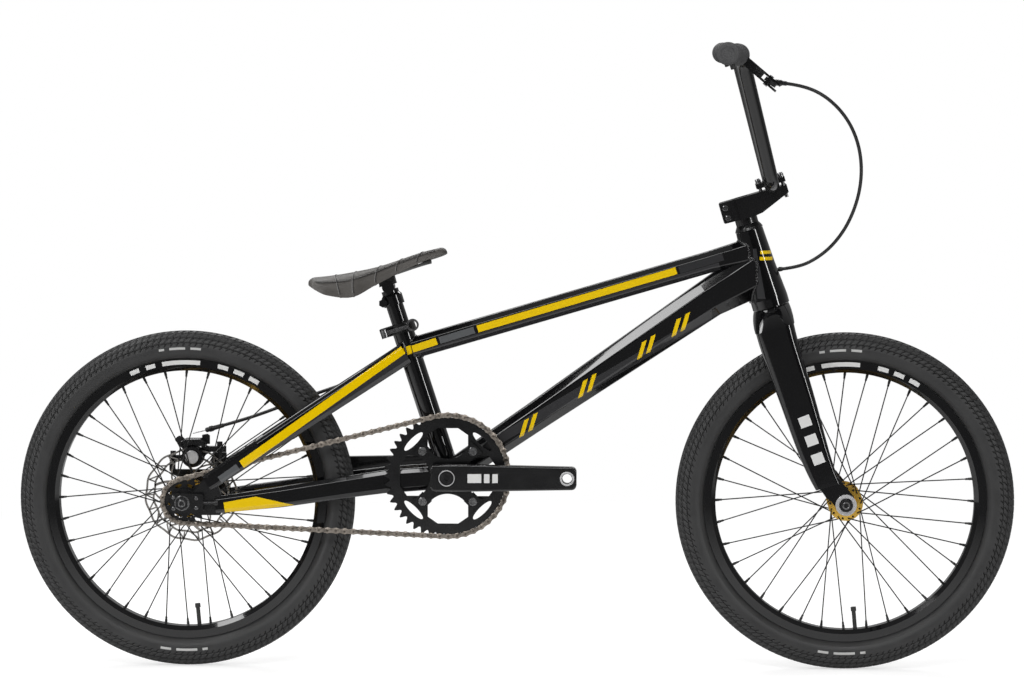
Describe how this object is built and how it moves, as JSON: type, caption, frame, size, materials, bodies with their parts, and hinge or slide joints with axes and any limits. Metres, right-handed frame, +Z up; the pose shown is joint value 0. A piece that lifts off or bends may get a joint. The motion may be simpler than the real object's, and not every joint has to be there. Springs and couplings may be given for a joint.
{
  "type": "bmx racing bicycle",
  "caption": "Racing BMX bicycle with a faceted alloy frame, high-rise handlebar, spoked wheels, single-speed chain drive and a rear disc brake worked by a lever.",
  "frame": {"origin": "on the ground midway between the two wheel axles, in the bicycle's centre plane", "axes": "+X forward along the bicycle, +Z up, -Y towards the rider's right, the drive side"},
  "size_m": [1.461, 0.74, 0.9175],
  "materials": {
    "frame_paint": "gloss black paint with grey and yellow bands",
    "fork_paint": "gloss black paint",
    "black_alloy": "satin black anodised",
    "polished_black": "polished black",
    "black_steel": "black oxide",
    "bearing_steel": "ground steel",
    "bright_alloy": "machined silver",
    "gold_alloy": "gold anodised",
    "chain_steel": "nickel plated steel",
    "rotor_steel": "ground stainless steel",
    "spoke_steel": "black coated stainless spokes",
    "tyre_rubber": "matt black rubber",
    "tube_rubber": "smooth rubber",
    "grip_rubber": "matt grey rubber",
    "saddle_cover": "matt dark warm grey cover",
    "saddle_plastic": "moulded black plastic",
    "cable_housing": "semi gloss black housing",
    "pad_compound": "brake lining"
  },
  "bodies": {
    "frame": {"head_tube": "frame_paint", "top_tube": "frame_paint", "down_tube": "frame_paint", "seat_tube": "frame_paint", "bottom_bracket_shell": "frame_paint", "chain_stay_right": "frame_paint", "chain_stay_left": "frame_paint", "seat_stay_right": "frame_paint", "seat_stay_left": "frame_paint", "dropout_right": "black_alloy", "dropout_left": "black_alloy", "chain_tensioners": "black_alloy", "headset_bearings": "bearing_steel", "bottom_bracket_cups": "black_alloy", "seat_clamp": "black_alloy", "caliper_bracket": "black_alloy", "caliper_body": "black_alloy", "caliper_bolts": "black_steel", "brake_pads": "pad_compound", "pad_adjuster": "bright_alloy", "rear_cable": "cable_housing", "chain_upper_run": "chain_steel", "chain_lower_run": "chain_steel", "chain_wraps": "chain_steel", "rear_axle": "black_steel"},
    "front_end": {"fork_crown": "fork_paint", "fork_leg_right": "fork_paint", "fork_leg_left": "fork_paint", "headset_spacers": "black_alloy", "stem_body": "black_alloy", "stem_cap": "black_alloy", "stem_bolts": "black_steel", "handlebar": "polished_black", "grip_right": "grip_rubber", "grip_left": "grip_rubber", "lever_bracket": "black_alloy", "front_cable": "cable_housing", "front_axle": "black_steel"},
    "brake_lever": {"lever_blade": "black_alloy"},
    "front_wheel": {"front_tyre": "tyre_rubber", "front_inner_tube": "tube_rubber", "front_rim": "polished_black", "front_hub": "gold_alloy", "front_spokes": "spoke_steel"},
    "rear_wheel": {"rear_tyre": "tyre_rubber", "rear_inner_tube": "tube_rubber", "rear_rim": "polished_black", "rear_hub": "gold_alloy", "rear_spokes": "spoke_steel", "brake_rotor": "rotor_steel"},
    "crankset": {"crank_arm_right": "black_alloy", "crank_arm_left": "black_alloy", "chainring": "black_alloy", "chainring_bolts": "black_steel"},
    "rear_cog": {"rear_cog": "black_steel"},
    "caliper_arm": {"caliper_arm": "black_steel"},
    "seatpost": {"seatpost": "polished_black"},
    "saddle": {"saddle_base": "saddle_plastic", "saddle_pad": "saddle_cover"},
    "qr_lever": {"qr_lever": "black_steel"}
  },
  "joints": [
    {"name": "steering", "type": "hinge", "parent": "frame", "child": "front_end", "pos_m": [0.3745, 0, 0.533], "axis": [-0.2807, 0, 0.9598], "range_deg": [-65, 65]},
    {"name": "front_wheel_spin", "type": "hinge", "parent": "front_end", "child": "front_wheel", "pos_m": [0.483, 0, 0.2475], "axis": [0, 1, 0], "continuous": true},
    {"name": "rear_wheel_spin", "type": "hinge", "parent": "frame", "child": "rear_wheel", "pos_m": [-0.483, 0, 0.2475], "axis": [0, 1, 0], "continuous": true},
    {"name": "crank_spin", "type": "hinge", "parent": "frame", "child": "crankset", "pos_m": [-0.0965, 0, 0.286], "axis": [0, 1, 0], "continuous": true},
    {"name": "cog_spin", "type": "hinge", "parent": "frame", "child": "rear_cog", "pos_m": [-0.483, 0, 0.2475], "axis": [0, 1, 0], "continuous": true},
    {"name": "brake_lever_pull", "type": "hinge", "parent": "front_end", "child": "brake_lever", "pos_m": [0.36468, -0.20476, 0.86345], "axis": [-0.65, 0, -0.76], "range_deg": [0, 20], "stiffness_Nm_per_rad": 0.6, "springref_deg": -11.46},
    {"name": "caliper_arm_pull", "type": "hinge", "parent": "frame", "child": "caliper_arm", "pos_m": [-0.48, 0, 0.305], "axis": [0, 1, 0], "range_deg": [0, 18], "stiffness_Nm_per_rad": 0.4, "springref_deg": -11.46},
    {"name": "seatpost_height", "type": "slide", "parent": "frame", "child": "seatpost", "axis": [-0.309, 0, 0.9511], "range_m": [-0.026, 0.04]},
    {"name": "saddle_tilt", "type": "hinge", "parent": "seatpost", "child": "saddle", "pos_m": [-0.1855, 0, 0.5599], "axis": [0, 1, 0], "range_deg": [-12, 12]},
    {"name": "seat_lever_open", "type": "hinge", "parent": "frame", "child": "qr_lever", "pos_m": [-0.18981, -0.0235, 0.49226], "axis": [0.309, 0, -0.9511], "range_deg": [0, 150]}
  ],
  "couplings": [
    {"joint": "cog_spin", "follows": "crank_spin", "ratio": 2.75},
    {"joint": "caliper_arm_pull", "follows": "brake_lever_pull", "ratio": 0.9}
  ]
}
